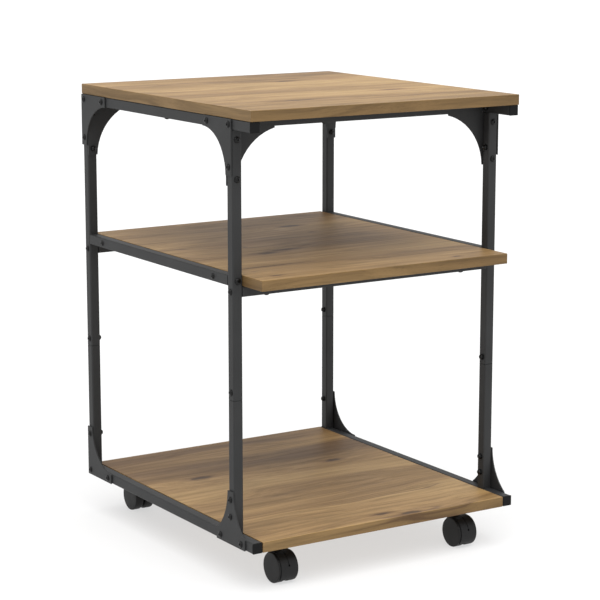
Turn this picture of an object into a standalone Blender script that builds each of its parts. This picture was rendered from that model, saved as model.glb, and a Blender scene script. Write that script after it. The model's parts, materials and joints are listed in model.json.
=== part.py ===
"""Mobile printer stand.

A bolted frame of square steel tube carries a top board and two shelf boards, and
rolls on four swivelling twin-wheel casters.

Units are metres and +Z is up. The origin is on the floor under the middle of the
stand. +X runs right along the front edge, and +Y runs from the front to the back.
"""

import math

import bmesh
import bpy

NAME = "mobile_printer_stand"

# Overall sizes
WIDTH = 0.450
DEPTH = 0.500
CASTER_HEIGHT = 0.060
LOWER_SPACE = 0.352
UPPER_SPACE = 0.200

# Stock
TUBE = 0.015
TUBE_WALL = 0.0012
TUBE_CORNER = 0.0021
TUBE_CORNER_STEPS = 3
BOARD = 0.015
BOARD_EDGE = 0.0006
PLATE = 0.002
PLATE_EDGE = 0.0003

# Clearances
GAP = 0.0003
SHELF_CLEARANCE = 0.001
HOLE_CLEARANCE = 0.0004

# Frame
FRONT_OVERHANG = 0.050
BACK_INSET = 0.0028
TOP_RAIL_INSET = 0.002
LEG_SEAM = 0.192
SPIGOT = 0.030
SPIGOT_SHOULDER = 0.0003
CAP_FLANGE = 0.0015
CAP_PLUG = 0.010
CAP_EDGE = 0.0005
PLUG_EDGE = 0.0007

# Corner plates
GUSSET = 0.077
GUSSET_STRIP = 0.015
FOOT_HEIGHT = 0.062
FOOT_REACH = 0.031
ARCH = 0.077
ARCH_RADIUS = 0.080
WELD_DEPTH = 0.0025
WELD_STEP = 0.0002
ARC_STEPS = 12

# Gusset bolts. A rim and a collar are the upright part of a head's and of a nut's height.
BOLT_RADIUS = 0.0024
BOLT_HEAD_RADIUS = 0.0048
BOLT_HEAD_HEIGHT = 0.0022
BOLT_HEAD_RIM = 0.00055
NUT_RADIUS = 0.0042
NUT_HEIGHT = 0.0045
NUT_COLLAR = 0.0018
TURNED_STEPS = 12

# Casters. Angles are about the axle, from the side of the swivel over the top.
CASTER_SIDE_INSET = 0.068
CASTER_END_INSET = 0.050
WHEEL_RADIUS = 0.022
WHEEL_WIDTH = 0.015
WHEEL_SPACING = 0.0026
WHEEL_STEPS = 24
WHEEL_DOME = 0.0003
WHEEL_EDGE = 0.0012
WHEEL_SHOULDER = 0.004
WHEEL_TRAIL = 0.013
AXLE_RADIUS = 0.002
AXLE_LENGTH = 0.030
WEB = 0.0018
HOOD_GAP = 0.0005
HOOD_WALL = 0.0009
HOOD_INSET = 0.0035
HOOD_FROM = 30.0
HOOD_TO = 220.0
HOOD_STEPS = 32
SLIT_WIDTH = 0.0009
SLIT_DEPTH = 0.003
SLIT_FROM = 100.0
KEYHOLE_ANGLE = 164.0
KEYHOLE_RADIUS = 0.0017
HUB_RADIUS = 0.006
BOSS_RADIUS = 0.008
BOSS_STEPS = 20
STEM_RADIUS = 0.004
STEM_REACH = 0.0102
CASTER_PLATE = 0.038
CASTER_PLATE_THICK = 0.002
SWIVEL_GAP = 0.0007

# Edges turned by more than the first angle are drawn sharp, and by the second are bevelled.
SHARP_ANGLE = 35.0
BEVEL_ANGLE = 60.0

# Levels, from the floor up
BOTTOM_SHELF_TOP = CASTER_HEIGHT + BOARD
BOTTOM_RAIL_TOP = BOTTOM_SHELF_TOP
MIDDLE_RAIL_TOP = BOTTOM_RAIL_TOP + LOWER_SPACE + TUBE
MIDDLE_SHELF_TOP = MIDDLE_RAIL_TOP
TOP_RAIL_TOP = MIDDLE_RAIL_TOP + UPPER_SPACE + TUBE
TOP_RAIL_UNDERSIDE = TOP_RAIL_TOP - TUBE
TOP_BOARD_TOP = TOP_RAIL_TOP + GAP + BOARD
CROSSBAR_CENTRE = MIDDLE_SHELF_TOP - BOARD - GAP - TUBE / 2
LEG_BOTTOM = BOTTOM_RAIL_TOP + GAP
LEG_TOP = TOP_RAIL_UNDERSIDE - GAP
SEAM = BOTTOM_RAIL_TOP + LEG_SEAM

# Places across the width and along the depth
SIDE_FACE = WIDTH / 2
SIDE_CENTRE = SIDE_FACE - TUBE / 2
SIDE_INNER = SIDE_FACE - TUBE
CROSS_HALF = SIDE_INNER - GAP
SHELF_HALF = SIDE_INNER - SHELF_CLEARANCE
FRONT_EDGE = -DEPTH / 2
BACK_EDGE = DEPTH / 2
FRONT_LEG = FRONT_EDGE + FRONT_OVERHANG + TUBE / 2
BACK_LEG = BACK_EDGE - BACK_INSET - TUBE / 2
PLATE_CENTRE = SIDE_FACE + GAP + PLATE / 2

SIDES = {"left": -1, "right": 1}
ENDS = {"front": -1, "back": 1}
LEG_PLACES = {"front": FRONT_LEG, "back": BACK_LEG}

# Local x, y and z of a flat plate turned to the world's Y, Z and X
FACING_SIDE = (math.pi / 2, 0.0, math.pi / 2)
# Local x and y turned to the world's X and Z
FACING_FRONT = (math.pi / 2, 0.0, 0.0)
# Local z turned to the world's X or Y
ALONG_X = (0.0, math.pi / 2, 0.0)
ALONG_Y = (-math.pi / 2, 0.0, 0.0)


# ---------------------------------------------------------------- scene and materials


def clear_scene():
    for obj in list(bpy.data.objects):
        bpy.data.objects.remove(obj, do_unlink=True)


def new_collection(name):
    collection = bpy.data.collections.new(name)
    bpy.context.scene.collection.children.link(collection)
    return collection


def material(name, colour, roughness, metallic=0.0):
    """A Principled BSDF of one colour, linear RGB."""
    made = bpy.data.materials.new(name)
    made.use_nodes = True
    shader = made.node_tree.nodes["Principled BSDF"]
    shader.inputs["Base Color"].default_value = (*colour, 1.0)
    shader.inputs["Roughness"].default_value = roughness
    shader.inputs["Metallic"].default_value = metallic
    made.diffuse_color = (*colour, 1.0)
    return made


def laminate():
    return material("laminate", (0.37, 0.24, 0.13), 0.55)


def powder_coat():
    return material("powder_coat", (0.05, 0.052, 0.054), 0.5)


def black_plastic():
    return material("black_plastic", (0.02, 0.02, 0.021), 0.45)


def zinc_steel():
    return material("zinc_steel", (0.6, 0.6, 0.62), 0.35, 1.0)


def black_steel():
    return material("black_steel", (0.015, 0.015, 0.016), 0.35)


# ---------------------------------------------------------------- shapes


def add_object(name, mesh, look, collection, place=(0, 0, 0), turn=(0, 0, 0), parent=None):
    """A new object for a mesh, with its look, in its collection and at its place."""
    if look:
        mesh.materials.clear()
        mesh.materials.append(look)
    mesh.shade_smooth()
    mesh.set_sharp_from_angle(angle=math.radians(SHARP_ANGLE))
    obj = bpy.data.objects.new(name, mesh)
    collection.objects.link(obj)
    obj.parent = parent
    obj.location = place
    obj.rotation_euler = turn
    return obj


def mesh_from(bm, name):
    bmesh.ops.recalc_face_normals(bm, faces=bm.faces)
    mesh = bpy.data.meshes.new(name)
    bm.to_mesh(mesh)
    bm.free()
    return mesh


def box_mesh(name, size):
    """A box centred on the origin."""
    bm = bmesh.new()
    bmesh.ops.create_cube(bm, size=1.0)
    bmesh.ops.scale(bm, vec=size, verts=bm.verts)
    return mesh_from(bm, name)


def cylinder_mesh(name, radius, length, steps=TURNED_STEPS):
    """A cylinder along Z centred on the origin."""
    bm = bmesh.new()
    bmesh.ops.create_cone(
        bm, cap_ends=True, segments=steps, radius1=radius, radius2=radius, depth=length
    )
    return mesh_from(bm, name)


def square_sleeve(length):
    """The outer skin of a square tube along Z from z = 0, open at both ends."""
    bm = bmesh.new()
    bmesh.ops.create_cube(bm, size=1.0)
    bmesh.ops.scale(bm, vec=(TUBE, TUBE, length), verts=bm.verts)
    bmesh.ops.translate(bm, vec=(0, 0, length / 2), verts=bm.verts)
    ends = [face for face in bm.faces if abs(face.normal.z) > 0.5]
    bmesh.ops.delete(bm, geom=ends, context="FACES_ONLY")
    corners = [
        edge for edge in bm.edges
        if abs(edge.verts[0].co.z - edge.verts[1].co.z) > length / 2
    ]
    bmesh.ops.bevel(bm, geom=corners, offset=TUBE_CORNER, segments=TUBE_CORNER_STEPS,
                    profile=0.5, affect="EDGES")
    return bm


def give_wall(obj):
    """Thickens a tube's outer skin inwards to the wall."""
    wall = obj.modifiers.new("wall", "SOLIDIFY")
    wall.thickness = TUBE_WALL
    wall.offset = -1.0
    wall.use_even_offset = True


def tube(name, start, length, turn, looks, collection):
    """A square tube of one length that starts at a point and runs along its turned Z."""
    obj = add_object(name, mesh_from(square_sleeve(length), name), looks["coat"],
                     collection, start, turn)
    give_wall(obj)
    return obj


def bevel_edges(obj, width, steps=1):
    edge = obj.modifiers.new("edge", "BEVEL")
    edge.width = width
    edge.segments = steps
    edge.limit_method = "ANGLE"
    edge.angle_limit = math.radians(BEVEL_ANGLE)


def arc(centre, radius, start, stop, steps=ARC_STEPS):
    """Points on an arc, from one angle to another in degrees."""
    angles = [math.radians(start + (stop - start) * k / steps) for k in range(steps + 1)]
    return [
        (centre[0] + radius * math.cos(angle), centre[1] + radius * math.sin(angle))
        for angle in angles
    ]


def flat_mesh(name, outline, thickness, holes=()):
    """A flat plate in XY, centred on z = 0, from its outline and its holes' outlines."""
    curve = bpy.data.curves.new(name, "CURVE")
    curve.dimensions = "2D"
    curve.fill_mode = "BOTH"
    curve.extrude = thickness / 2
    for points in (outline, *holes):
        spline = curve.splines.new("POLY")
        spline.points.add(len(points) - 1)
        for point, (x, y) in zip(spline.points, points):
            point.co = (x, y, 0.0, 1.0)
        spline.use_cyclic_u = True
    guide = bpy.data.objects.new(name + "_outline", curve)
    bpy.context.scene.collection.objects.link(guide)
    graph = bpy.context.evaluated_depsgraph_get()
    mesh = bpy.data.meshes.new_from_object(guide.evaluated_get(graph))
    bpy.data.objects.remove(guide, do_unlink=True)
    bm = bmesh.new()
    bm.from_mesh(mesh)
    bpy.data.meshes.remove(mesh)
    bmesh.ops.remove_doubles(bm, verts=bm.verts, dist=1e-6)
    return mesh_from(bm, name)


def turned(name, profile, steps, look, collection, place, turn, parent=None):
    """A solid of revolution about Z. Its profile is (radius, height) from top to bottom."""
    bm = bmesh.new()
    points = [bm.verts.new((radius, 0.0, height)) for radius, height in profile]
    for upper, lower in zip(points, points[1:]):
        bm.edges.new((upper, lower))
    mesh = bpy.data.meshes.new(name)
    bm.to_mesh(mesh)
    bm.free()
    obj = add_object(name, mesh, look, collection, place, turn, parent)
    screw = obj.modifiers.new("turn", "SCREW")
    screw.axis = "Z"
    screw.steps = steps
    screw.render_steps = steps
    screw.use_merge_vertices = True
    screw.merge_threshold = 0.00001
    screw.use_smooth_shade = True
    return obj


def helper(name, mesh, collection, place=(0, 0, 0), turn=(0, 0, 0), parent=None):
    """A closed mesh that is only an operand of a Boolean."""
    obj = add_object(name, mesh, None, collection, place, turn, parent)
    obj.hide_render = True
    obj.display_type = "WIRE"
    return obj


def combine(obj, operand, operation):
    """Cuts the operand from the object, or joins it on."""
    step = obj.modifiers.new(operand.name, "BOOLEAN")
    step.operation = operation
    step.solver = "EXACT"
    step.object = operand


# ---------------------------------------------------------------- boards


def board(name, half_width, top, looks, parts):
    mesh = box_mesh(name, (2 * half_width, DEPTH, BOARD))
    obj = add_object(name, mesh, looks["laminate"], parts, (0, 0, top - BOARD / 2))
    bevel_edges(obj, BOARD_EDGE, 2)


def make_boards(looks, parts):
    board("top_board", SIDE_FACE, TOP_BOARD_TOP, looks, parts)
    board("middle_shelf", SHELF_HALF, MIDDLE_SHELF_TOP, looks, parts)
    board("bottom_shelf", SHELF_HALF, BOTTOM_SHELF_TOP, looks, parts)


# ---------------------------------------------------------------- frame


def bolt_place(end):
    """(y, z) of the corner bolt of a top gusset: leg centre and rail centre."""
    return LEG_PLACES[end], TOP_RAIL_TOP - TUBE / 2


def bolt_holes(side, parts, cutters):
    """Holes across a top side rail for the corner bolts of its two gussets."""
    for end in ENDS:
        mesh = cylinder_mesh("hole", BOLT_RADIUS + HOLE_CLEARANCE, 2 * TUBE)
        y, z = bolt_place(end)
        hole = helper(f"hole_{side}_{end}", mesh, cutters,
                      (SIDES[side] * SIDE_CENTRE, y, z), ALONG_X)
        combine(parts.objects[f"top_rail_{side}"], hole, "DIFFERENCE")


def end_cap(name, x, y, z, outward, looks, parts, cutters):
    """A flange on the end of a rail, and a plug that goes into the rail."""
    centre = y - outward * CAP_FLANGE / 2
    flange = add_object(name, box_mesh(name, (TUBE, CAP_FLANGE, TUBE)), looks["plastic"],
                        parts, (x, centre, z))
    plug_width = TUBE - 2 * TUBE_WALL - 2 * GAP
    length = CAP_PLUG + CAP_FLANGE / 2
    plug = helper(name + "_plug", box_mesh("plug", (plug_width, length, plug_width)),
                  cutters, (x, centre - outward * length / 2, z))
    bevel_edges(flange, CAP_EDGE)
    bevel_edges(plug, PLUG_EDGE)
    combine(flange, plug, "UNION")


def rail_with_caps(kind, side, front, z, looks, parts, cutters):
    """A side rail along the depth, closed by a cap at each end."""
    x = SIDES[side] * SIDE_CENTRE
    inset = CAP_FLANGE + GAP
    tube(f"{kind}_rail_{side}", (x, front + inset, z), BACK_EDGE - front - 2 * inset,
         ALONG_Y, looks, parts)
    end_cap(f"{kind}_cap_{side}_front", x, front, z, -1, looks, parts, cutters)
    end_cap(f"{kind}_cap_{side}_back", x, BACK_EDGE, z, 1, looks, parts, cutters)


def make_rails(looks, parts, cutters):
    between_legs = BACK_LEG - FRONT_LEG - TUBE - 2 * GAP
    for side, sign in SIDES.items():
        rail_with_caps("bottom", side, FRONT_EDGE, BOTTOM_RAIL_TOP - TUBE / 2,
                       looks, parts, cutters)
        rail_with_caps("top", side, FRONT_EDGE + TOP_RAIL_INSET, TOP_RAIL_TOP - TUBE / 2,
                       looks, parts, cutters)
        bolt_holes(side, parts, cutters)
        start = (sign * SIDE_CENTRE, FRONT_LEG + TUBE / 2 + GAP, MIDDLE_RAIL_TOP - TUBE / 2)
        tube(f"middle_rail_{side}", start, between_legs, ALONG_Y, looks, parts)


def make_crossbars(looks, parts):
    for end, y in LEG_PLACES.items():
        tube(f"middle_crossbar_{end}", (-CROSS_HALF, y, CROSSBAR_CENTRE), 2 * CROSS_HALF,
             ALONG_X, looks, parts)


def lower_leg(name, x, y, looks, parts):
    """A tube whose top is necked down to plug into the leg above it."""
    body = SEAM - GAP / 2 - LEG_BOTTOM
    bm = square_sleeve(body + SPIGOT)
    for height in (body - SPIGOT_SHOULDER, body):
        everything = bm.verts[:] + bm.edges[:] + bm.faces[:]
        bmesh.ops.bisect_plane(bm, geom=everything, plane_co=(0, 0, height),
                               plane_no=(0, 0, 1))
    neck = (TUBE - 2 * TUBE_WALL - 2 * GAP) / TUBE
    necked = [vert for vert in bm.verts if vert.co.z > body - SPIGOT_SHOULDER / 2]
    bmesh.ops.scale(bm, vec=(neck, neck, 1.0), verts=necked)
    obj = add_object(name, mesh_from(bm, name), looks["coat"], parts, (x, y, LEG_BOTTOM))
    give_wall(obj)


def make_legs(looks, parts):
    for side, sign in SIDES.items():
        for end, y in LEG_PLACES.items():
            x = sign * SIDE_CENTRE
            lower_leg(f"lower_leg_{end}_{side}", x, y, looks, parts)
            start = SEAM + GAP / 2
            tube(f"upper_leg_{end}_{side}", (x, y, start), LEG_TOP - start, (0, 0, 0),
                 looks, parts)


# ---------------------------------------------------------------- corner plates


def gusset_outline(toward, up):
    """An L with a concave inner corner. Its arms run toward the signed x and up y."""
    inner = GUSSET - GUSSET_STRIP
    curve = arc((GUSSET, GUSSET), inner, 270, 180)
    points = [(0, 0), (GUSSET, 0), *curve, (0, GUSSET)]
    return [(toward * x, up * y) for x, y in points]


def gusset(name, side, corner, toward, up, hole, looks, parts):
    holes = []
    if hole:
        centre = (toward * TUBE / 2, up * TUBE / 2)
        last = TURNED_STEPS - 1
        holes = [arc(centre, BOLT_RADIUS + HOLE_CLEARANCE, 0, 360 - 360 / TURNED_STEPS, last)]
    mesh = flat_mesh(name, gusset_outline(toward, up), PLATE, holes)
    place = (SIDES[side] * PLATE_CENTRE, *corner)
    obj = add_object(name, mesh, looks["coat"], parts, place, FACING_SIDE)
    bevel_edges(obj, PLATE_EDGE)


def foot_outline():
    """An upside-down T on its rail, with concave flanks that run up into the leg."""
    half = TUBE / 2
    radius = (FOOT_REACH**2 + FOOT_HEIGHT**2) / (2 * FOOT_REACH)
    opening = math.degrees(math.asin(FOOT_HEIGHT / radius))
    top = TUBE + FOOT_HEIGHT
    flank = arc((half + radius, top), radius, 180 + opening, 180)
    left = [(-x, y) for x, y in reversed(flank)]
    return [(half + FOOT_REACH, 0), *flank, *left, (-half - FOOT_REACH, 0)]


def foot_plate(name, side, looks, parts):
    mesh = flat_mesh(name, foot_outline(), PLATE)
    place = (SIDES[side] * PLATE_CENTRE, FRONT_LEG, BOTTOM_RAIL_TOP - TUBE)
    obj = add_object(name, mesh, looks["coat"], parts, place, FACING_SIDE)
    bevel_edges(obj, PLATE_EDGE)


def make_side_plates(looks, parts):
    front_corner = FRONT_LEG - TUBE / 2
    back_corner = BACK_LEG + TUBE / 2
    for side in SIDES:
        gusset(f"top_gusset_front_{side}", side, (front_corner, TOP_RAIL_TOP), 1, -1, True,
               looks, parts)
        gusset(f"top_gusset_back_{side}", side, (back_corner, TOP_RAIL_TOP), -1, -1, True,
               looks, parts)
        gusset(f"bottom_gusset_back_{side}", side, (back_corner, BOTTOM_RAIL_TOP - TUBE),
               -1, 1, False, looks, parts)
        foot_plate(f"foot_plate_front_{side}", side, looks, parts)


def arch_outline(sign):
    """A corner plate under the cross rail: it covers the leg and arches to the rail."""
    centre = (TUBE + ARCH_RADIUS, -ARCH_RADIUS)
    low = math.degrees(math.asin((ARCH_RADIUS - ARCH) / ARCH_RADIUS))
    reach = math.degrees(math.acos((TUBE + ARCH_RADIUS - ARCH) / ARCH_RADIUS))
    rise = arc(centre, ARCH_RADIUS, 180 - low, 180 - reach)
    step = TUBE + 2 * GAP
    points = [(0, rise[0][1]), *rise, (ARCH, WELD_DEPTH), (step, WELD_DEPTH), (step, -GAP),
              (0, -GAP)]
    return [(sign * (SIDE_FACE - u), v) for u, v in points]


def arch_frame(end, looks, parts, cutters):
    """A cross rail under the top board with an arched plate welded on at each leg."""
    inward = -ENDS[end]
    leg_face = LEG_PLACES[end] + inward * (TUBE / 2 + GAP)
    rail_centre = leg_face + inward * (WELD_STEP + TUBE / 2)
    frame = tube(f"arch_frame_{end}", (-CROSS_HALF, rail_centre, TOP_RAIL_TOP - TUBE / 2),
                 2 * CROSS_HALF, ALONG_X, looks, parts)
    for side, sign in SIDES.items():
        mesh = flat_mesh("arch", arch_outline(sign), PLATE)
        place = (0, leg_face + inward * PLATE / 2, TOP_RAIL_UNDERSIDE)
        plate = helper(f"arch_{end}_{side}", mesh, cutters, place, FACING_FRONT)
        combine(frame, plate, "UNION")


def gusset_bolt(side, looks, parts):
    """The corner bolt of a front top gusset, with its dome nut on the inside."""
    outer = PLATE_CENTRE + PLATE / 2 + GAP
    inner = SIDE_INNER - GAP
    shank = outer - inner
    dome = BOLT_HEAD_HEIGHT - BOLT_HEAD_RIM
    head = [
        (BOLT_HEAD_RADIUS * math.sin(math.radians(a)),
         shank + BOLT_HEAD_RIM + dome * math.cos(math.radians(a)))
        for a in range(0, 91, 18)
    ]
    crown = NUT_HEIGHT - NUT_COLLAR
    nut = [
        (NUT_RADIUS * math.cos(math.radians(a)),
         -NUT_COLLAR - crown * math.sin(math.radians(a)))
        for a in range(0, 91, 30)
    ]
    profile = [(0.0, head[0][1]), *head[1:], (BOLT_HEAD_RADIUS, shank),
               (BOLT_RADIUS, shank), (BOLT_RADIUS, 0.0), (NUT_RADIUS, 0.0),
               *nut[:-1], (0.0, nut[-1][1])]
    y, z = bolt_place("front")
    turn = (0.0, SIDES[side] * math.pi / 2, 0.0)
    turned(f"gusset_bolt_front_{side}", profile, TURNED_STEPS, looks["black_steel"], parts,
           (SIDES[side] * inner, y, z), turn)


# ---------------------------------------------------------------- casters


def caster_plate(name, x, y, looks, parts, cutters):
    """The mounting plate under the bottom shelf, with the stem that the caster turns on."""
    top = CASTER_HEIGHT - GAP
    size = (CASTER_PLATE, CASTER_PLATE, CASTER_PLATE_THICK)
    place = (x, y, top - CASTER_PLATE_THICK / 2)
    plate = add_object(name, box_mesh(name, size), looks["zinc"], parts, place)
    bevel_edges(plate, PLATE_EDGE)
    reach = STEM_REACH + CASTER_PLATE_THICK / 2
    stem = helper(name + "_stem", cylinder_mesh("stem", STEM_RADIUS, reach), cutters,
                  (x, y, place[2] - reach / 2))
    combine(plate, stem, "UNION")


def hood_outline():
    """Side view about the axle: a sector over the wheels that narrows to the hub."""
    outer = WHEEL_RADIUS + HOOD_GAP + HOOD_WALL
    roof = arc((0, 0), outer, HOOD_FROM, HOOD_TO, HOOD_STEPS)
    hub = arc((0, 0), HUB_RADIUS, HOOD_TO, 360 + HOOD_FROM)
    return [*roof, *hub]


def cut_keyhole(name, hood, caster, axle, cutters):
    """A slit down the middle of the hood to a round hole."""
    outer = WHEEL_RADIUS + HOOD_GAP + 2 * HOOD_WALL
    ring = [*arc((0, 0), outer, SLIT_FROM, KEYHOLE_ANGLE),
            *arc((0, 0), outer - SLIT_DEPTH, KEYHOLE_ANGLE, SLIT_FROM)]
    slit = helper(name + "_slit", flat_mesh("slit", ring, SLIT_WIDTH), cutters, axle,
                  FACING_SIDE, caster)
    combine(hood, slit, "DIFFERENCE")
    angle = math.radians(KEYHOLE_ANGLE)
    place = (0, axle[1] + outer * math.cos(angle), axle[2] + outer * math.sin(angle))
    hole = helper(name + "_keyhole", cylinder_mesh("hole", KEYHOLE_RADIUS, 2 * SLIT_DEPTH),
                  cutters, place, ALONG_Y, caster)
    combine(hood, hole, "DIFFERENCE")


def caster_hood(name, caster, looks, parts, cutters):
    """A roof over both wheels, a web between them, and a boss for the stem."""
    width = 2 * (WHEEL_WIDTH - HOOD_INSET) + WHEEL_SPACING
    axle = (0, -WHEEL_TRAIL, WHEEL_RADIUS)
    hood = add_object(name, flat_mesh(name, hood_outline(), width), looks["plastic"], parts,
                      axle, FACING_SIDE, caster)
    top = CASTER_HEIGHT - GAP - CASTER_PLATE_THICK - SWIVEL_GAP
    boss_height = top - WHEEL_RADIUS
    boss = helper(name + "_boss",
                  cylinder_mesh("boss", BOSS_RADIUS, boss_height, BOSS_STEPS), cutters,
                  (0, 0, top - boss_height / 2), parent=caster)
    combine(hood, boss, "UNION")
    for sign in SIDES.values():
        mesh = cylinder_mesh("wheel_space", WHEEL_RADIUS + HOOD_GAP, width, 2 * WHEEL_STEPS)
        space = helper(name + "_space", mesh, cutters,
                       (sign * (WEB + width) / 2, *axle[1:]), ALONG_X, caster)
        combine(hood, space, "DIFFERENCE")
    stem_bottom = CASTER_HEIGHT - GAP - CASTER_PLATE_THICK - STEM_REACH - 2 * GAP
    hole_height = top - stem_bottom + BOSS_RADIUS
    stem_hole = helper(name + "_stem_hole",
                       cylinder_mesh("stem_hole", STEM_RADIUS + GAP, hole_height), cutters,
                       (0, 0, stem_bottom + hole_height / 2), parent=caster)
    combine(hood, stem_hole, "DIFFERENCE")
    axle_hole = helper(name + "_axle_hole",
                       cylinder_mesh("axle_hole", AXLE_RADIUS + GAP, 2 * WHEEL_SPACING),
                       cutters, axle, ALONG_X, caster)
    combine(hood, axle_hole, "DIFFERENCE")
    cut_keyhole(name, hood, caster, axle, cutters)


def wheel_profile():
    """Half section of a wheel, from its outer face to its inner face and its blind bore."""
    rim = WHEEL_RADIUS
    face = WHEEL_WIDTH
    bore = AXLE_RADIUS + GAP
    bore_end = (AXLE_LENGTH - WHEEL_SPACING) / 2 + 2 * GAP
    edge = arc((rim - WHEEL_EDGE, face - WHEEL_DOME - WHEEL_EDGE), WHEEL_EDGE, 90, 0, 3)
    shoulder = arc((rim - WHEEL_SHOULDER, WHEEL_SHOULDER), WHEEL_SHOULDER, 0, -90, 4)
    return [(0.0, face), *edge, *shoulder, (bore, 0.0), (bore, bore_end), (0.0, bore_end)]


def caster(end, side, looks, parts, cutters):
    """One twin-wheel caster. Its wheels trail towards the nearer end of the stand."""
    x = SIDES[side] * (SIDE_FACE - CASTER_SIDE_INSET)
    y = ENDS[end] * (DEPTH / 2 - CASTER_END_INSET)
    name = f"caster_{end}_{side}"
    caster_plate(name + "_plate", x, y, looks, parts, cutters)
    swivel = bpy.data.objects.new(name, None)
    parts.objects.link(swivel)
    swivel.location = (x, y, 0)
    facing = -ENDS[end]
    swivel.rotation_euler = (0, 0, 0 if facing > 0 else math.pi)
    caster_hood(name + "_hood", swivel, looks, parts, cutters)
    axle_place = (0, -WHEEL_TRAIL, WHEEL_RADIUS)
    add_object(name + "_axle", cylinder_mesh("axle", AXLE_RADIUS, AXLE_LENGTH),
               looks["zinc"], parts, axle_place, ALONG_X, swivel)
    for wheel_side, sign in SIDES.items():
        local = sign * facing
        place = (local * WHEEL_SPACING / 2, *axle_place[1:])
        turned(f"{name}_wheel_{wheel_side}", wheel_profile(), WHEEL_STEPS, looks["plastic"],
               parts, place, (0, local * math.pi / 2, 0), swivel)


def main():
    clear_scene()
    parts = new_collection(NAME)
    cutters = new_collection(NAME + "_cutters")
    looks = {
        "laminate": laminate(),
        "coat": powder_coat(),
        "plastic": black_plastic(),
        "zinc": zinc_steel(),
        "black_steel": black_steel(),
    }
    make_boards(looks, parts)
    make_rails(looks, parts, cutters)
    make_crossbars(looks, parts)
    make_legs(looks, parts)
    make_side_plates(looks, parts)
    for end in ENDS:
        arch_frame(end, looks, parts, cutters)
    for side in SIDES:
        gusset_bolt(side, looks, parts)
    for end in ENDS:
        for side in SIDES:
            caster(end, side, looks, parts, cutters)


main()
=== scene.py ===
"""Looks of the mobile printer stand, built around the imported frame.

Lengths are metres in the frame's own axes: +X to the right along the front edge, +Y from
the front edge to the back, +Z up, with the floor at z = 0.
"""

import json
import math

import bmesh
import bpy
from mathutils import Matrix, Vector


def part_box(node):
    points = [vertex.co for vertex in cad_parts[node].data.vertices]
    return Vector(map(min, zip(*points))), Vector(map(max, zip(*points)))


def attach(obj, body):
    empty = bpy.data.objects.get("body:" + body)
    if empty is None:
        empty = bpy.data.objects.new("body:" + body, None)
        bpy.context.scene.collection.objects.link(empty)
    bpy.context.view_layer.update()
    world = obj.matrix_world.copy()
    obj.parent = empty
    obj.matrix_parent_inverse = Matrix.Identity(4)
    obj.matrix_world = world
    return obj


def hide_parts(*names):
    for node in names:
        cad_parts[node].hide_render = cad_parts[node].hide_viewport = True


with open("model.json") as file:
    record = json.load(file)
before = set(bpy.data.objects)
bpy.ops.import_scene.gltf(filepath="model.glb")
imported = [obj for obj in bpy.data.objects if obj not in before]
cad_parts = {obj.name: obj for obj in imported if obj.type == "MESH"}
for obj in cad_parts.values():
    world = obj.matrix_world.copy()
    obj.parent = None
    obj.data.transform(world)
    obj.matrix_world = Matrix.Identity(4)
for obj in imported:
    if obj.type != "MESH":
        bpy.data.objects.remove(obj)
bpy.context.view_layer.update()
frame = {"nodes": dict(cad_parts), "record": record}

NODES = frame["nodes"]
SIDES = {"left": -1, "right": 1}
ENDS = {"front": -1, "back": 1}
GAP = 0.0003

# Camera
CAMERA_PLACE = (-1.639, -2.5965, 0.9424)
CAMERA_YAW = 32.425
CAMERA_PITCH = 10.846
CAMERA_LENS = 124.35
SENSOR = 36.0

# Studio. The sun's turn is (x, y, z) in degrees, and its spread softens the shadows.
FLOOR_RADIUS = 60.0
FLOOR_GLOW = 0.60
SKY = ((0.0, 1.30), (0.10, 1.10), (0.35, 0.90), (1.0, 0.80))
SUN_STRENGTH = 3.4
SUN_TURN = (17.0, -9.0, 0.0)
SUN_SPREAD = 70.0

# Oak print. The bands run from the darkest to the lightest, as (noise level, colour).
OAK_BANDS = [(0.30, (0.132, 0.072, 0.028)), (0.44, (0.230, 0.136, 0.053)),
             (0.56, (0.305, 0.187, 0.075)), (0.70, (0.388, 0.250, 0.105))]
KNOT_HALO = (0.225, 0.122, 0.052)
KNOT_CORE = (0.085, 0.042, 0.018)
PLACED_HALO = (0.120, 0.060, 0.023)
PLACED_CORE = (0.040, 0.020, 0.009)
CRACK_BROWN = (0.110, 0.058, 0.026)
# Darkening of the boards' sideways faces: partly the edge banding's own tone, partly painted shade for
# the weaker light on the edges.
EDGE_TONE_AND_PAINTED_SHADE = 0.62

# Chosen knots of each board's print: x, y, half length and half width of the dark middle
KNOT_REACH = 2.4
TOP_KNOTS = ((-0.090, -0.157, 0.030, 0.0035), (0.060, 0.120, 0.018, 0.006))
MIDDLE_KNOTS = ((-0.085, -0.060, 0.016, 0.0055), (-0.045, -0.046, 0.022, 0.0045),
                (-0.145, -0.155, 0.055, 0.0022), (-0.169, -0.224, 0.009, 0.003),
                (0.133, -0.230, 0.007, 0.003), (0.080, 0.140, 0.016, 0.006))
BOTTOM_KNOTS = ((0.047, -0.242, 0.016, 0.005), (0.008, -0.225, 0.014, 0.004),
                (-0.120, 0.080, 0.018, 0.006), (0.110, 0.060, 0.014, 0.005))

# Fastener shapes
HEAD_RADIUS = 0.0048
HEAD_HEIGHT = 0.0022
HEAD_LIP = 0.0006
SOCKET_RADIUS = 0.0015
SOCKET_DEPTH = 0.0012
SHANK_RADIUS = 0.0024
NUT_FLATS = 0.0038
NUT_HEIGHT = 0.0046
NUT_HEX_HEIGHT = 0.0022
NUT_COLLAR = 0.0006
SCREW_HEAD_RADIUS = 0.0040
SCREW_HEAD_HEIGHT = 0.0022
SCREW_RECESS = 0.0013
SCREW_RADIUS = 0.0016
SCREW_LENGTH = 0.009
TURN_STEPS = 32

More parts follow.
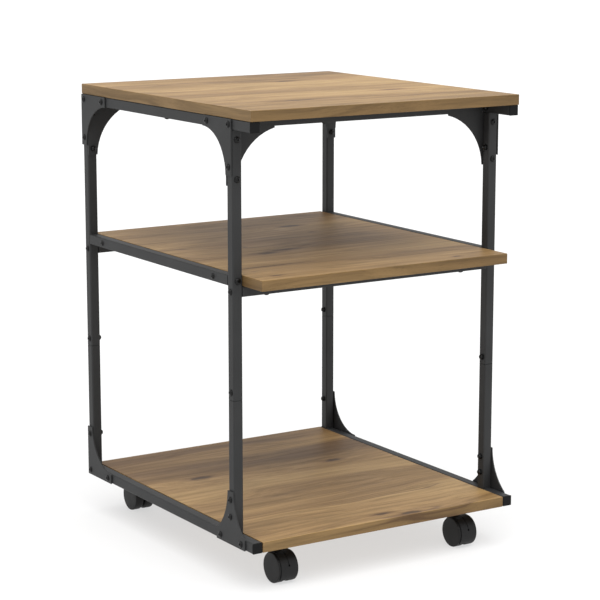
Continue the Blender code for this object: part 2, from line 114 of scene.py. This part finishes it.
# Fastener places. The leg with blind bolts has no nuts on its inner face.
PLATE = 0.002
GUSSET_PITCH = 0.058
FOOT_RAIL_PITCH = 0.028
FOOT_LEG_BOLTS = (0.0325, 0.057)
ARCH_BOLTS = (0.0134, 0.0674)
SPIGOT_BOLT = 0.0105
BOARD_SCREWS = (-0.145, 0.190)
TOP_BOARD_SCREW = -0.006
CROSSBAR_SCREW = 0.167
CASTER_SCREW_INSET = 0.0045
BLIND_LEG = ("front", "left")

# Wheels
WHEEL_STEPS = 72
WHEEL_DOME = 0.0003
WHEEL_EDGE = 0.0012
WHEEL_SEAM = 0.0075
SEAM_WIDTH = 0.00015
WHEEL_SHOULDER = 0.004
WHEEL_BORE = 0.0023
WHEEL_WALL = 0.0007


# ---------------------------------------------------------------- node graphs


class Graph:
    """A short way to write a material's node graph."""

    def __init__(self, name):
        self.material = bpy.data.materials.new(name)
        self.material.use_nodes = True
        self.tree = self.material.node_tree
        self.shader = self.tree.nodes["Principled BSDF"]
        coordinates = self.tree.nodes.new("ShaderNodeTexCoord")
        self.place = coordinates.outputs["Object"]

    def node(self, kind, links=None, **settings):
        made = self.tree.nodes.new("ShaderNode" + kind)
        for key, value in settings.items():
            setattr(made, key, value)
        for key, value in (links or {}).items():
            self.put(made.inputs[key], value)
        return made

    def put(self, socket, value):
        if isinstance(value, bpy.types.NodeSocket):
            self.tree.links.new(value, socket)
        else:
            socket.default_value = value

    def set(self, **inputs):
        """Sets or links the shader's inputs. An underscore stands for a space."""
        for key, value in inputs.items():
            self.put(self.shader.inputs[key.replace("_", " ")], value)

    def math(self, operation, a, b=0.0, clamp=False):
        return self.node("Math", {0: a, 1: b}, operation=operation, use_clamp=clamp).outputs[0]

    def shifted(self, vector, step):
        return self.node("VectorMath", {0: vector, 1: step}, operation="ADD").outputs[0]

    def scaled(self, vector, factors):
        links = {0: vector, 1: factors}
        return self.node("VectorMath", links, operation="MULTIPLY").outputs[0]

    def noise(self, vector, scale, detail=3.0, roughness=0.5, distortion=0.0):
        links = {"Vector": vector, "Scale": scale, "Detail": detail,
                 "Roughness": roughness, "Distortion": distortion}
        return self.node("TexNoise", links).outputs["Fac"]

    def ramp(self, value, stops, interpolation="LINEAR"):
        """A colour ramp. Each stop is a position and a grey level or a colour."""
        made = self.node("ValToRGB", {"Fac": value})
        band = made.color_ramp
        band.interpolation = interpolation
        while len(band.elements) < len(stops):
            band.elements.new(0.5)
        for element, (position, colour) in zip(band.elements, stops):
            element.position = position
            if not isinstance(colour, tuple):
                colour = (colour, colour, colour)
            element.color = (*colour, 1.0)
        return made.outputs["Color"]

    def mix(self, factor, a, b, blend="MIX"):
        made = self.node("Mix", data_type="RGBA", blend_type=blend)
        self.put(made.inputs["Factor"], factor)
        for key, value in (("A", a), ("B", b)):
            socket = next(s for s in made.inputs if s.name == key and s.type == "RGBA")
            self.put(socket, (*value, 1.0) if isinstance(value, tuple) else value)
        return next(s for s in made.outputs if s.type == "RGBA")

    def bump(self, height, strength, distance):
        links = {"Height": height, "Strength": strength, "Distance": distance}
        self.set(Normal=self.node("Bump", links).outputs["Normal"])


def facing(graph, axis):
    """How squarely a face looks along one axis, 0 to 1."""
    normal = graph.node("SeparateXYZ", {0: graph.node("NewGeometry").outputs["True Normal"]})
    return graph.math("ABSOLUTE", normal.outputs[axis])


def along_grain(graph, shift):
    """Coordinates with x along the grain. On the two side edges the grain runs along Y."""
    moved = graph.shifted(graph.place, shift)
    parts = graph.node("SeparateXYZ", {0: moved}).outputs
    swapped = graph.node("CombineXYZ", {0: parts[1], 1: parts[2], 2: parts[0]}).outputs[0]
    side = graph.math("GREATER_THAN", facing(graph, 0), 0.7)
    made = graph.node("Mix", data_type="VECTOR")
    graph.put(made.inputs["Factor"], side)
    vectors = [s for s in made.inputs if s.type == "VECTOR" and s.name in ("A", "B")]
    graph.put(vectors[0], moved)
    graph.put(vectors[1], swapped)
    return next(s for s in made.outputs if s.type == "VECTOR")


def swaying(g, place):
    """Bends straight grain lines into the slow waves of a flat-sawn board."""
    drift = g.noise(g.scaled(place, (2.2, 7.0, 7.0)), 1.0, 2.0)
    sway = g.math("MULTIPLY", g.math("SUBTRACT", drift, 0.5), 0.10)
    return g.shifted(place, g.node("CombineXYZ", {1: sway, 2: sway}).outputs[0])


def oak_tone(g, grain, streaks, pores):
    """Broad bands, the rings of cathedral grain, fine streaks and pores."""
    bands = g.noise(g.scaled(grain, (0.9, 13.0, 13.0)), 1.0, 3.0, 0.55)
    contours = g.noise(g.scaled(grain, (0.7, 8.0, 8.0)), 1.0, 1.0)
    rings = g.math("FRACT", g.math("MULTIPLY", contours, 9.0))
    lines = g.ramp(rings, [(0.0, 0.74), (0.10, 0.97), (0.75, 1.0), (1.0, 0.78)], "EASE")
    tone = g.mix(0.55, g.ramp(bands, OAK_BANDS), lines, "MULTIPLY")
    tone = g.mix(0.80, tone, g.ramp(streaks, [(0.34, 0.66), (0.60, 1.06)]), "MULTIPLY")
    return g.mix(0.55, tone, pores, "MULTIPLY")


def add_scattered_knots(g, tone, grain):
    """Knots in a few cells of the print. Gives the colour, and where their dark cores are."""
    cells = g.node("TexVoronoi", {"Vector": g.scaled(grain, (4.2, 11.0, 11.0)), "Scale": 1.0})
    chosen = g.node("SeparateColor", {0: cells.outputs["Color"]}).outputs[0]
    rare = g.math("GREATER_THAN", chosen, 0.72)
    far = cells.outputs["Distance"]
    halo = g.math("MULTIPLY", g.ramp(far, [(0.05, 1.0), (0.34, 0.0)], "EASE"), rare)
    core = g.math("MULTIPLY", g.ramp(far, [(0.04, 1.0), (0.13, 0.0)], "EASE"), rare)
    tone = g.mix(g.math("MULTIPLY", halo, 0.55), tone, KNOT_HALO)
    return g.mix(g.math("MULTIPLY", core, 0.80), tone, KNOT_CORE), core


def near_knots(g, knots):
    """From 0 well outside every chosen knot to 1 at its middle, with a ragged outline."""
    rough = g.noise(g.scaled(g.place, (70.0, 260.0, 260.0)), 1.0, 3.0)
    ragged = g.math("MULTIPLY", g.math("SUBTRACT", rough, 0.5), 1.6)
    found = 0.0
    for x, y, length, width in knots:
        away = g.shifted(g.place, (-x, -y, 0.0))
        shrunk = g.scaled(away, (1 / length, 1 / width, 0.0))
        far = g.node("VectorMath", {0: shrunk}, operation="LENGTH").outputs["Value"]
        share = g.math("DIVIDE", g.math("ADD", far, ragged), KNOT_REACH)
        found = g.math("MAXIMUM", found, g.math("SUBTRACT", 1.0, share, clamp=True))
    return found


def add_chosen_knots(g, tone, knots):
    near = near_knots(g, knots)
    tone = g.mix(g.ramp(near, [(0.05, 0.0), (0.55, 0.55)], "EASE"), tone, PLACED_HALO)
    return g.mix(g.ramp(near, [(0.50, 0.0), (0.75, 0.85)], "EASE"), tone, PLACED_CORE)


def crack_mask(g, place, grain):
    """Thin dark lines along the grain, in a few stretches of the board."""
    contour = g.noise(g.scaled(grain, (1.6, 16.0, 16.0)), 1.0, 2.0)
    near = g.math("ABSOLUTE", g.math("SUBTRACT", contour, 0.5))
    crack = g.ramp(near, [(0.0, 1.0), (0.012, 0.0)], "EASE")
    patches = g.noise(g.scaled(place, (3.0, 6.0, 6.0)), 1.0, 1.0)
    return g.math("MULTIPLY", crack, g.ramp(patches, [(0.46, 0.0), (0.58, 1.0)]))


def laminate(name, shift, knots):
    """Rustic oak print on faces and on the edge banding, whose sideways faces are darkened: partly the
    banding's own darker tone, partly painted shade.
    """
    g = Graph(name)
    place = along_grain(g, shift)
    grain = swaying(g, place)
    streaks = g.noise(g.scaled(grain, (5.0, 150.0, 150.0)), 1.0, 4.0, 0.6)
    pore_noise = g.noise(g.scaled(grain, (26.0, 1500.0, 1500.0)), 1.0, 2.0)
    pores = g.ramp(pore_noise, [(0.34, 0.66), (0.44, 1.0)])
    tone = oak_tone(g, grain, streaks, pores)
    tone, core = add_scattered_knots(g, tone, grain)
    tone = add_chosen_knots(g, tone, knots)
    cracked = crack_mask(g, place, grain)
    tone = g.mix(g.math("MULTIPLY", cracked, 0.8), tone, CRACK_BROWN)
    # Faces that look sideways are darkened: painted shade, with a little of the banding's own darker
    # tone.
    shade = g.ramp(facing(g, 2), [(0.3, EDGE_TONE_AND_PAINTED_SHADE), (0.7, 1.0)])
    g.set(Base_Color=g.mix(1.0, tone, shade, "MULTIPLY"),
          Roughness=g.ramp(streaks, [(0.2, 0.60), (0.8, 0.46)]), Specular_IOR_Level=0.22)
    relief = g.math("SUBTRACT", g.math("MULTIPLY", pores, 0.5), g.math("ADD", cracked, core))
    g.bump(relief, 0.35, 0.00025)
    return g.material


def powder_coat():
    """Charcoal powder coat: a fine orange-peel skin with faint speckle."""
    g = Graph("powder_coat")
    peel = g.noise(g.place, 1400.0, 3.0, 0.6)
    cloud = g.noise(g.place, 14.0, 3.0)
    colour = g.ramp(cloud, [(0.3, (0.018, 0.0184, 0.0188)), (0.7, (0.023, 0.0234, 0.0238))])
    speckle = g.ramp(g.noise(g.place, 2600.0, 1.0), [(0.35, 0.86), (0.65, 1.12)])
    g.set(Base_Color=g.mix(0.6, colour, speckle, "MULTIPLY"),
          Roughness=g.ramp(peel, [(0.3, 0.50), (0.7, 0.62)]), Specular_IOR_Level=0.28)
    g.bump(peel, 0.22, 0.00012)
    return g.material


def moulded(name, colour, low, high, grain, shine):
    """Moulded plastic with a fine spark-eroded grain and soft cloudy gloss."""
    g = Graph(name)
    skin = g.noise(g.place, grain, 2.0, 0.5)
    cloud = g.noise(g.place, 60.0, 3.0)
    deep = tuple(0.82 * c for c in colour)
    g.set(Base_Color=g.ramp(cloud, [(0.3, deep), (0.7, colour)]),
          Roughness=g.ramp(cloud, [(0.3, low), (0.7, high)]), Specular_IOR_Level=shine)
    g.bump(skin, 0.15, 0.00008)
    return g.material


def black_bolt():
    """Black-oxide steel, a little glossy, with turning marks that catch the light."""
    g = Graph("black_bolt")
    wear = g.noise(g.place, 900.0, 4.0, 0.65)
    g.set(Base_Color=g.ramp(wear, [(0.35, (0.002, 0.002, 0.002)), (0.75, (0.006, 0.006, 0.006))]),
          Roughness=g.ramp(wear, [(0.3, 0.20), (0.7, 0.32)]), Specular_IOR_Level=0.22)
    g.bump(wear, 0.10, 0.00005)
    return g.material


def zinc():
    """Zinc plate with a faint crystalline mottle."""
    g = Graph("zinc_steel")
    mottle = g.node("TexVoronoi", {"Vector": g.place, "Scale": 420.0}).outputs["Color"]
    grey = g.node("SeparateColor", {0: mottle}).outputs[0]
    g.set(Base_Color=g.ramp(grey, [(0.0, (0.46, 0.47, 0.50)), (1.0, (0.60, 0.61, 0.63))]),
          Roughness=g.ramp(grey, [(0.0, 0.30), (1.0, 0.42)]), Metallic=1.0)
    g.bump(grey, 0.05, 0.00003)
    return g.material


LOOKS = {
    "powder_coat": powder_coat(),
    "cap_plastic": moulded("cap_plastic", (0.004, 0.0041, 0.0043), 0.46, 0.58, 2400.0,
                           0.14),
    "caster_plastic": moulded("caster_plastic", (0.010, 0.010, 0.0103), 0.42, 0.54, 3000.0,
                              0.20),
    "zinc_steel": zinc(),
    "black_bolt": black_bolt(),
}
BOARDS = {
    "top_board": laminate("laminate_top", (0.30, 0.115, 0.02), TOP_KNOTS),
    "middle_shelf": laminate("laminate_middle", (1.71, 2.36, 0.50), MIDDLE_KNOTS),
    "bottom_shelf": laminate("laminate_bottom", (4.02, 5.22, 0.90), BOTTOM_KNOTS),
}


def dress_frame():
    """Gives every CAD node its finished material."""
    slots = {row["node"]: row["material_slot"] for row in frame["record"]["subparts"]}
    for name, obj in NODES.items():
        look = BOARDS.get(name) or LOOKS[slots[name]]
        obj.data.materials.clear()
        obj.data.materials.append(look)


# ---------------------------------------------------------------- turned pieces


def turned_mesh(name, profile, look, steps=TURN_STEPS, flats=None):
    """Turns a closed (radius, height) profile about Z. Rows listed in flats are hexagons."""
    bm = bmesh.new()
    rows = []
    for index, (radius, height) in enumerate(profile):
        if radius == 0.0:
            rows.append([bm.verts.new((0.0, 0.0, height))])
            continue
        ring = []
        for k in range(steps):
            angle = 2 * math.pi * k / steps
            reach = radius
            if flats and index in flats:
                reach = radius / math.cos((angle + math.pi / 6) % (math.pi / 3) - math.pi / 6)
            ring.append(bm.verts.new((reach * math.cos(angle), reach * math.sin(angle), height)))
        rows.append(ring)
    for upper, lower in zip(rows, rows[1:]):
        for k in range(steps):
            n = (k + 1) % steps
            if len(upper) == 1:
                bm.faces.new((upper[0], lower[k], lower[n]))
            elif len(lower) == 1:
                bm.faces.new((upper[n], upper[k], lower[0]))
            else:
                bm.faces.new((upper[n], upper[k], lower[k], lower[n]))
    bmesh.ops.recalc_face_normals(bm, faces=bm.faces)
    return finished_mesh(bm, name, look)


def finished_mesh(bm, name, look, angle=40):
    mesh = bpy.data.meshes.new(name)
    bm.to_mesh(mesh)
    bm.free()
    mesh.materials.append(look)
    mesh.shade_smooth()
    mesh.set_sharp_from_angle(angle=math.radians(angle))
    return mesh


def dome(radius, height, base, steps, start=0):
    """Profile points of a low dome, from near its top down to its rim at z = base."""
    return [
        (radius * math.sin(math.pi / 2 * k / steps), base + height * math.cos(math.pi / 2 * k / steps))
        for k in range(start, steps + 1)
    ]


def bolt_mesh(length):
    """A round-head bolt whose head sits on z = 0 and whose shank runs down from it."""
    crown = dome(HEAD_RADIUS - HEAD_LIP, HEAD_HEIGHT - HEAD_LIP, HEAD_LIP, 8)
    top = [point for point in crown if point[0] > SOCKET_RADIUS]
    floor = HEAD_HEIGHT - SOCKET_DEPTH
    profile = [(0.0, floor), (SOCKET_RADIUS * 0.94, floor), (SOCKET_RADIUS, top[0][1]), *top,
               (HEAD_RADIUS - HEAD_LIP, HEAD_LIP), (HEAD_RADIUS, HEAD_LIP * 0.7),
               (HEAD_RADIUS, 0.0), (SHANK_RADIUS, 0.0), (SHANK_RADIUS, -length), (0.0, -length)]
    return turned_mesh("bolt", profile, LOOKS["black_bolt"], flats=(1, 2))


def nut_mesh():
    """A dome nut that sits on z = 0: a collar, a hexagon and a dome."""
    cap = dome(NUT_FLATS * 0.98, NUT_HEIGHT - NUT_HEX_HEIGHT, NUT_HEX_HEIGHT, 7)
    bore = SHANK_RADIUS + GAP / 2
    profile = [*cap, (NUT_FLATS, NUT_HEX_HEIGHT), (NUT_FLATS, NUT_COLLAR),
               (NUT_FLATS * 1.16, NUT_COLLAR - 0.0001), (NUT_FLATS * 1.18, 0.0), (bore, 0.0),
               (bore, NUT_HEX_HEIGHT), (0.0, NUT_HEX_HEIGHT)]
    flats = (len(cap), len(cap) + 1)
    return turned_mesh("dome_nut", profile, LOOKS["black_bolt"], flats=flats)


def screw_mesh():
    """A pan-head board screw whose head sits on z = 0 and whose point runs down."""
    crown = dome(SCREW_HEAD_RADIUS, SCREW_HEAD_HEIGHT, 0.0, 7)
    top = [point for point in crown if point[0] > SCREW_RECESS]
    profile = [(0.0, SCREW_HEAD_HEIGHT - 0.0010),
               (SCREW_RECESS * 0.6, SCREW_HEAD_HEIGHT - 0.0008), (SCREW_RECESS, top[0][1]), *top,
               (SCREW_RADIUS, 0.0), (SCREW_RADIUS - 0.0001, -SCREW_LENGTH * 0.7),
               (0.0, -SCREW_LENGTH)]
    return turned_mesh("board_screw", profile, LOOKS["black_bolt"])


def put_piece(name, mesh, place, outward, body="root"):
    """A piece at a place with its +Z turned outward, riding on a body."""
    obj = bpy.data.objects.new(name, mesh)
    bpy.context.scene.collection.objects.link(obj)
    obj.rotation_mode = "QUATERNION"
    obj.rotation_quaternion = Vector((0, 0, 1)).rotation_difference(Vector(outward))
    obj.location = place
    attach(obj, body)
    return obj


def centre(node):
    low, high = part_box(node)
    return (low + high) / 2


class Fasteners:
    """Meshes shared by the frame's bolts, nuts and screws."""

    def __init__(self):
        self.nut = nut_mesh()
        self.screw = screw_mesh()
        self.bolts = {}

    def bolt(self, length):
        key = round(length, 4)
        if key not in self.bolts:
            self.bolts[key] = bolt_mesh(length)
        return self.bolts[key]

    def through(self, name, head, nut_face, axis, with_nut=True):
        """A bolt from its head's face to the face its nut sits on, along one axis (0 X, 1 Y)."""
        outward = [0, 0, 0]
        outward[axis] = 1 if head[axis] > nut_face else -1
        length = abs(head[axis] - nut_face)
        bolt = put_piece(name, self.bolt(length if with_nut else length - GAP), head, outward)
        if with_nut:
            seat = list(head)
            seat[axis] = nut_face
            inward = [-value for value in outward]
            put_piece(name + "_nut", self.nut, seat, inward)
        return bolt


def add_side_bolts(kit):
    """Bolts across the sides: through the corner plates, the legs and the crossbars."""
    for side, sign in SIDES.items():
        plate = sign * (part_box("top_gusset_front_right")[1].x + GAP)
        outer = sign * (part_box("top_rail_right")[1].x + GAP)
        inner = sign * (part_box("top_rail_right")[0].x - GAP)
        rail_z = centre(f"top_rail_{side}").z
        low_z = centre(f"bottom_rail_{side}").z
        for end, direction in ENDS.items():
            nuts = (end, side) != BLIND_LEG
            leg = centre(f"upper_leg_{end}_{side}")
            along = leg.y - direction * GUSSET_PITCH
            corner = kit.through(f"top_gusset_{end}_{side}_corner_bolt",
                                 (plate, leg.y, rail_z), inner, 0)
            if end == "front":
                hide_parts(f"gusset_bolt_front_{side}")
            kit.through(f"top_gusset_{end}_{side}_rail_bolt", (plate, along, rail_z), inner, 0)
            kit.through(f"top_gusset_{end}_{side}_leg_bolt",
                        (plate, leg.y, rail_z - GUSSET_PITCH), inner, 0, nuts)
            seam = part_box(f"upper_leg_{end}_{side}")[0].z
            kit.through(f"leg_joint_bolt_{end}_{side}", (outer, leg.y, seam + SPIGOT_BOLT),
                        inner, 0, nuts)
            bar = centre(f"middle_crossbar_{end}")
            kit.through(f"crossbar_bolt_{end}_{side}", (outer, leg.y, bar.z), inner, 0, False)
        back = centre(f"lower_leg_back_{side}").y
        kit.through(f"bottom_gusset_back_{side}_corner_bolt", (plate, back, low_z), inner, 0,
                    False)
        kit.through(f"bottom_gusset_back_{side}_rail_bolt",
                    (plate, back - GUSSET_PITCH, low_z), inner, 0, False)
        kit.through(f"bottom_gusset_back_{side}_leg_bolt",
                    (plate, back, low_z + GUSSET_PITCH), inner, 0)
        front = centre(f"lower_leg_front_{side}").y
        for number, height in enumerate(FOOT_LEG_BOLTS, 1):
            kit.through(f"foot_plate_{side}_leg_bolt_{number}", (plate, front, low_z + height),
                        inner, 0, ("front", side) != BLIND_LEG)
        for where, direction in ENDS.items():
            kit.through(f"foot_plate_{side}_rail_bolt_{where}",
                        (plate, front + direction * FOOT_RAIL_PITCH, low_z), inner, 0, False)


def add_end_bolts(kit):
    """Bolts along the depth: through the legs into the arch plates and the middle rails."""
    for side in SIDES:
        for end, direction in ENDS.items():
            low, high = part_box(f"upper_leg_{end}_{side}")
            x = (low.x + high.x) / 2
            outer = high.y + GAP if direction > 0 else low.y - GAP
            inner = low.y if direction > 0 else high.y
            arch_face = inner - direction * (PLATE + 3 * GAP)
            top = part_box(f"top_rail_{side}")[0].z
            for number, drop in enumerate(ARCH_BOLTS, 1):
                kit.through(f"arch_bolt_{end}_{side}_{number}", (x, outer, top - drop),
                            arch_face, 1)
            rail_z = centre(f"middle_rail_{side}").z
            kit.through(f"middle_rail_bolt_{end}_{side}", (x, outer, rail_z), inner, 1, False)


def add_board_screws(kit):
    """Screws into the boards, from the sides and from underneath."""
    for side, sign in SIDES.items():
        low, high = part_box(f"middle_rail_{side}")
        face = high.x + GAP if sign > 0 else low.x - GAP
        for number, y in enumerate(BOARD_SCREWS, 1):
            put_piece(f"middle_shelf_screw_{side}_{number}", kit.screw,
                      (face, y, (low.z + high.z) / 2), (sign, 0, 0))
        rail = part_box(f"top_rail_{side}")
        x = (rail[0].x + rail[1].x) / 2
        put_piece(f"top_board_screw_{side}", kit.screw, (x, TOP_BOARD_SCREW, rail[0].z - GAP),
                  (0, 0, -1))
        for end in ENDS:
            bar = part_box(f"middle_crossbar_{end}")
            y = (bar[0].y + bar[1].y) / 2
            put_piece(f"crossbar_screw_{end}_{side}", kit.screw,
                      (sign * CROSSBAR_SCREW, y, bar[0].z - GAP), (0, 0, -1))


def add_caster_screws(kit):
    """Four screws through each caster plate into the bottom shelf."""
    for end in ENDS:
        for side in SIDES:
            low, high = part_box(f"caster_{end}_{side}_plate")
            under = high.z - PLATE - GAP
            corners = [(x, y) for x in (low.x + CASTER_SCREW_INSET, high.x - CASTER_SCREW_INSET)
                       for y in (low.y + CASTER_SCREW_INSET, high.y - CASTER_SCREW_INSET)]
            for number, (x, y) in enumerate(corners, 1):
                put_piece(f"caster_{end}_{side}_screw_{number}", kit.screw, (x, y, under),
                          (0, 0, -1))


# ---------------------------------------------------------------- wheels


def arc(middle, radius, start, stop, steps):
    """Points on an arc, from one angle to another in degrees."""
    angles = [math.radians(start + (stop - start) * k / steps) for k in range(steps + 1)]
    return [(middle[0] + radius * math.cos(a), middle[1] + radius * math.sin(a)) for a in angles]


def wheel_mesh(radius, width):
    """A moulded wheel about Z from its inner face at z = 0 to its domed outer face."""
    face = [(radius * share, width - WHEEL_DOME * share**2) for share in (0.3, 0.6, 0.8)]
    edge = arc((radius - WHEEL_EDGE, width - WHEEL_DOME - WHEEL_EDGE), WHEEL_EDGE, 90, 0, 6)
    seam = width - WHEEL_SEAM
    tread = [(radius, seam + SEAM_WIDTH), (radius - SEAM_WIDTH, seam),
             (radius, seam - SEAM_WIDTH)]
    shoulder = arc((radius - WHEEL_SHOULDER, WHEEL_SHOULDER), WHEEL_SHOULDER, 0, -90, 10)
    bore = [(WHEEL_BORE, 0.0), (WHEEL_BORE, width - WHEEL_WALL), (0.0, width - WHEEL_WALL)]
    profile = [(0.0, width), *face, *edge, *tread, *shoulder, *bore]
    return turned_mesh("wheel", profile, LOOKS["caster_plastic"], WHEEL_STEPS)


def add_wheels():
    low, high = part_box("caster_front_left_wheel_left")
    mesh = wheel_mesh((high.z - low.z) / 2, high.x - low.x)
    for end in ENDS:
        for side in SIDES:
            for which, sign in SIDES.items():
                node = f"caster_{end}_{side}_wheel_{which}"
                low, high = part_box(node)
                middle = (low + high) / 2
                inner = low.x if sign > 0 else high.x
                wheel = put_piece(node + "_moulding", mesh, (inner, middle.y, middle.z),
                                  (sign, 0, 0), node + "_body")
                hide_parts(node)


# ---------------------------------------------------------------- stage, light and camera


def add_floor():
    bm = bmesh.new()
    bmesh.ops.create_circle(bm, cap_ends=True, segments=96, radius=FLOOR_RADIUS)
    g = Graph("studio_floor")
    cloud = g.noise(g.place, 1.5, 2.0)
    g.set(Base_Color=g.ramp(cloud, [(0.3, 0.27), (0.7, 0.29)]), Roughness=0.85,
          Specular_IOR_Level=0.1, Emission_Color=(1.0, 1.0, 1.0, 1.0),
          Emission_Strength=FLOOR_GLOW)
    mesh = finished_mesh(bm, "floor", g.material)
    floor = bpy.data.objects.new("floor", mesh)
    bpy.context.scene.collection.objects.link(floor)


def add_sky():
    """A pale sky that is brightest at the horizon, where it meets the floor."""
    world = bpy.data.worlds.new("studio")
    bpy.context.scene.world = world
    world.use_nodes = True
    tree = world.node_tree
    height = tree.nodes.new("ShaderNodeSeparateXYZ")
    tree.links.new(tree.nodes.new("ShaderNodeTexCoord").outputs["Generated"], height.inputs[0])
    band = tree.nodes.new("ShaderNodeValToRGB")
    tree.links.new(height.outputs["Z"], band.inputs["Fac"])
    while len(band.color_ramp.elements) < len(SKY):
        band.color_ramp.elements.new(0.5)
    for element, (position, level) in zip(band.color_ramp.elements, SKY):
        element.position = position
        element.color = (level, level, level, 1.0)
    tree.links.new(band.outputs["Color"], tree.nodes["Background"].inputs["Color"])


def add_sun():
    sun = bpy.data.lights.new("sun", "SUN")
    sun.energy = SUN_STRENGTH
    sun.angle = math.radians(SUN_SPREAD)
    obj = bpy.data.objects.new("sun", sun)
    bpy.context.scene.collection.objects.link(obj)
    obj.rotation_euler = [math.radians(turn) for turn in SUN_TURN]


def add_camera():
    camera = bpy.data.cameras.new("camera")
    camera.sensor_width = SENSOR
    camera.lens = CAMERA_LENS
    camera.clip_end = 200.0
    obj = bpy.data.objects.new("camera", camera)
    bpy.context.scene.collection.objects.link(obj)
    obj.location = CAMERA_PLACE
    obj.rotation_euler = (math.radians(90 - CAMERA_PITCH), 0.0, math.radians(-CAMERA_YAW))
    bpy.context.scene.camera = obj


def main():
    dress_frame()
    kit = Fasteners()
    add_side_bolts(kit)
    add_end_bolts(kit)
    add_board_screws(kit)
    add_caster_screws(kit)
    add_wheels()
    add_floor()
    add_sky()
    add_sun()
    add_camera()
    bpy.context.scene.view_settings.view_transform = "Standard"


main()
